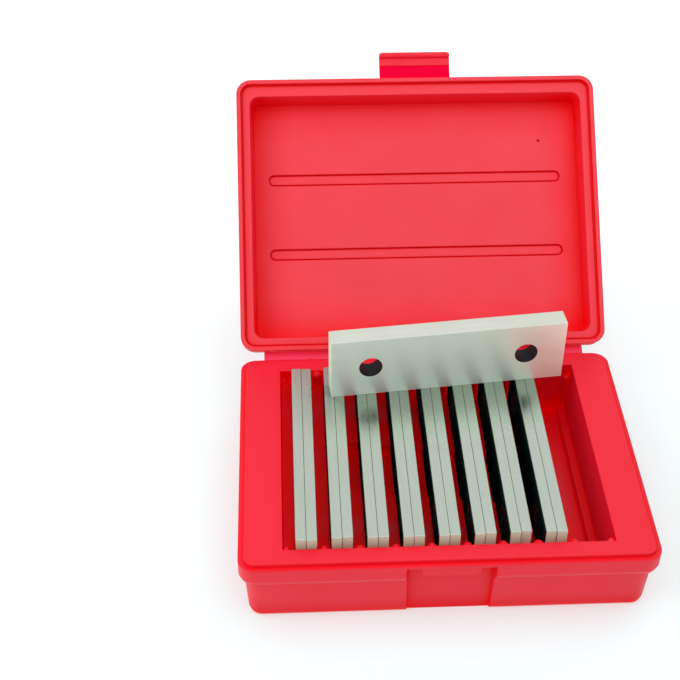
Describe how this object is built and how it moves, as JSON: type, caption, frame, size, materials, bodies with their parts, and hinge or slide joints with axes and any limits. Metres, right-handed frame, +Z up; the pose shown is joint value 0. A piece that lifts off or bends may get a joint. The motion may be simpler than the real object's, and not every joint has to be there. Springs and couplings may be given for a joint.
{
  "type": "parallel bar set",
  "caption": "Hinged blow-moulded plastic case holding matched pairs of ground steel parallel bars, the tallest pair standing on top.",
  "frame": {"origin": "centre of the case base's underside, on the bench", "axes": "+Z up, +Y from the latch at the front to the hinge at the back, +X to the right seen from the latch side"},
  "size_m": [0.247, 0.3444, 0.191],
  "materials": {
    "red_plastic": "semi-matt blow-moulded polyethylene",
    "hinge_plastic": "thin, stress-lightened polyethylene",
    "ground_steel": "hardened tool steel, surface ground on all sides"
  },
  "bodies": {
    "base": {"case_base": "red_plastic"},
    "web": {"hinge_web": "hinge_plastic"},
    "lid": {"case_lid": "red_plastic"},
    "latch": {"latch_strap": "hinge_plastic", "latch_hook": "red_plastic"},
    "stored_1_left": {"bar_1_left": "ground_steel"},
    "stored_1_right": {"bar_1_right": "ground_steel"},
    "stored_2_left": {"bar_2_left": "ground_steel"},
    "stored_2_right": {"bar_2_right": "ground_steel"},
    "stored_3_left": {"bar_3_left": "ground_steel"},
    "stored_3_right": {"bar_3_right": "ground_steel"},
    "stored_4_left": {"bar_4_left": "ground_steel"},
    "stored_4_right": {"bar_4_right": "ground_steel"},
    "stored_5_left": {"bar_5_left": "ground_steel"},
    "stored_5_right": {"bar_5_right": "ground_steel"},
    "stored_6_left": {"bar_6_left": "ground_steel"},
    "stored_6_right": {"bar_6_right": "ground_steel"},
    "stored_7_left": {"bar_7_left": "ground_steel"},
    "stored_7_right": {"bar_7_right": "ground_steel"},
    "stored_8_left": {"bar_8_left": "ground_steel"},
    "stored_8_right": {"bar_8_right": "ground_steel"},
    "standing_front": {"bar_9_front": "ground_steel"},
    "standing_rear": {"bar_9_rear": "ground_steel"}
  },
  "joints": [
    {"name": "base_fold", "type": "hinge", "parent": "base", "child": "web", "pos_m": [0, 0.09445, 0.044], "axis": [-1, 0, 0], "range_deg": [-68.2, 21.8]},
    {"name": "lid_fold", "type": "hinge", "parent": "web", "child": "lid", "pos_m": [0, 0.10002, 0.04623], "axis": [-1, 0, 0], "range_deg": [-68.2, 21.8]},
    {"name": "latch_fold", "type": "hinge", "parent": "lid", "child": "latch", "pos_m": [0, 0.23634, 0.17715], "axis": [-1, 0, 0], "range_deg": [-90, 20]},
    {"name": "lift_1_left", "type": "slide", "parent": "base", "child": "stored_1_left", "axis": [0, 0, 1], "range_m": [0, 0.01655]},
    {"name": "lift_1_right", "type": "slide", "parent": "base", "child": "stored_1_right", "axis": [0, 0, 1], "range_m": [0, 0.01655]},
    {"name": "lift_2_left", "type": "slide", "parent": "base", "child": "stored_2_left", "axis": [0, 0, 1], "range_m": [0, 0.01973]},
    {"name": "lift_2_right", "type": "slide", "parent": "base", "child": "stored_2_right", "axis": [0, 0, 1], "range_m": [0, 0.01973]},
    {"name": "lift_3_left", "type": "slide", "parent": "base", "child": "stored_3_left", "axis": [0, 0, 1], "range_m": [0, 0.02291]},
    {"name": "lift_3_right", "type": "slide", "parent": "base", "child": "stored_3_right", "axis": [0, 0, 1], "range_m": [0, 0.02291]},
    {"name": "lift_4_left", "type": "slide", "parent": "base", "child": "stored_4_left", "axis": [0, 0, 1], "range_m": [0, 0.02609]},
    {"name": "lift_4_right", "type": "slide", "parent": "base", "child": "stored_4_right", "axis": [0, 0, 1], "range_m": [0, 0.02609]},
    {"name": "lift_5_left", "type": "slide", "parent": "base", "child": "stored_5_left", "axis": [0, 0, 1], "range_m": [0, 0.02926]},
    {"name": "lift_5_right", "type": "slide", "parent": "base", "child": "stored_5_right", "axis": [0, 0, 1], "range_m": [0, 0.02926]},
    {"name": "lift_6_left", "type": "slide", "parent": "base", "child": "stored_6_left", "axis": [0, 0, 1], "range_m": [0, 0.03243]},
    {"name": "lift_6_right", "type": "slide", "parent": "base", "child": "stored_6_right", "axis": [0, 0, 1], "range_m": [0, 0.03243]},
    {"name": "lift_7_left", "type": "slide", "parent": "base", "child": "stored_7_left", "axis": [0, 0, 1], "range_m": [0, 0.03561]},
    {"name": "lift_7_right", "type": "slide", "parent": "base", "child": "stored_7_right", "axis": [0, 0, 1], "range_m": [0, 0.03561]},
    {"name": "lift_8_left", "type": "slide", "parent": "base", "child": "stored_8_left", "axis": [0, 0, 1], "range_m": [0, 0.03877]},
    {"name": "lift_8_right", "type": "slide", "parent": "base", "child": "stored_8_right", "axis": [0, 0, 1], "range_m": [0, 0.03879]},
    {"name": "set_aside", "type": "slide", "parent": "stored_8_left", "child": "standing_front", "axis": [-0.9736, 0.2282, 0], "range_m": [-0.26294, 0.08405]},
    {"name": "lift_9_rear", "type": "slide", "parent": "standing_front", "child": "standing_rear", "axis": [0, 0, 1], "range_m": [0, 0.06]}
  ],
  "couplings": [
    {"joint": "lift_2_left", "follows": "lift_8_left", "ratio": 0.5087},
    {"joint": "lift_2_right", "follows": "lift_8_left", "ratio": 0.5087},
    {"joint": "lift_3_left", "follows": "lift_8_left", "ratio": 0.59059},
    {"joint": "lift_3_right", "follows": "lift_8_left", "ratio": 0.59059},
    {"joint": "lift_4_left", "follows": "lift_8_left", "ratio": 0.67247},
    {"joint": "lift_4_right", "follows": "lift_8_left", "ratio": 0.67247},
    {"joint": "lift_5_left", "follows": "lift_8_left", "ratio": 0.75435},
    {"joint": "lift_5_right", "follows": "lift_8_left", "ratio": 0.75435},
    {"joint": "lift_6_left", "follows": "lift_8_left", "ratio": 0.83623},
    {"joint": "lift_6_right", "follows": "lift_8_left", "ratio": 0.83623},
    {"joint": "lift_7_left", "follows": "lift_8_left", "ratio": 0.91812},
    {"joint": "lift_7_right", "follows": "lift_8_left", "ratio": 0.91812},
    {"joint": "lift_8_right", "follows": "lift_8_left", "ratio": 1},
    {"joint": "lid_fold", "follows": "set_aside", "rad_per_m": 4.527},
    {"joint": "base_fold", "follows": "set_aside", "rad_per_m": 4.527}
  ]
}
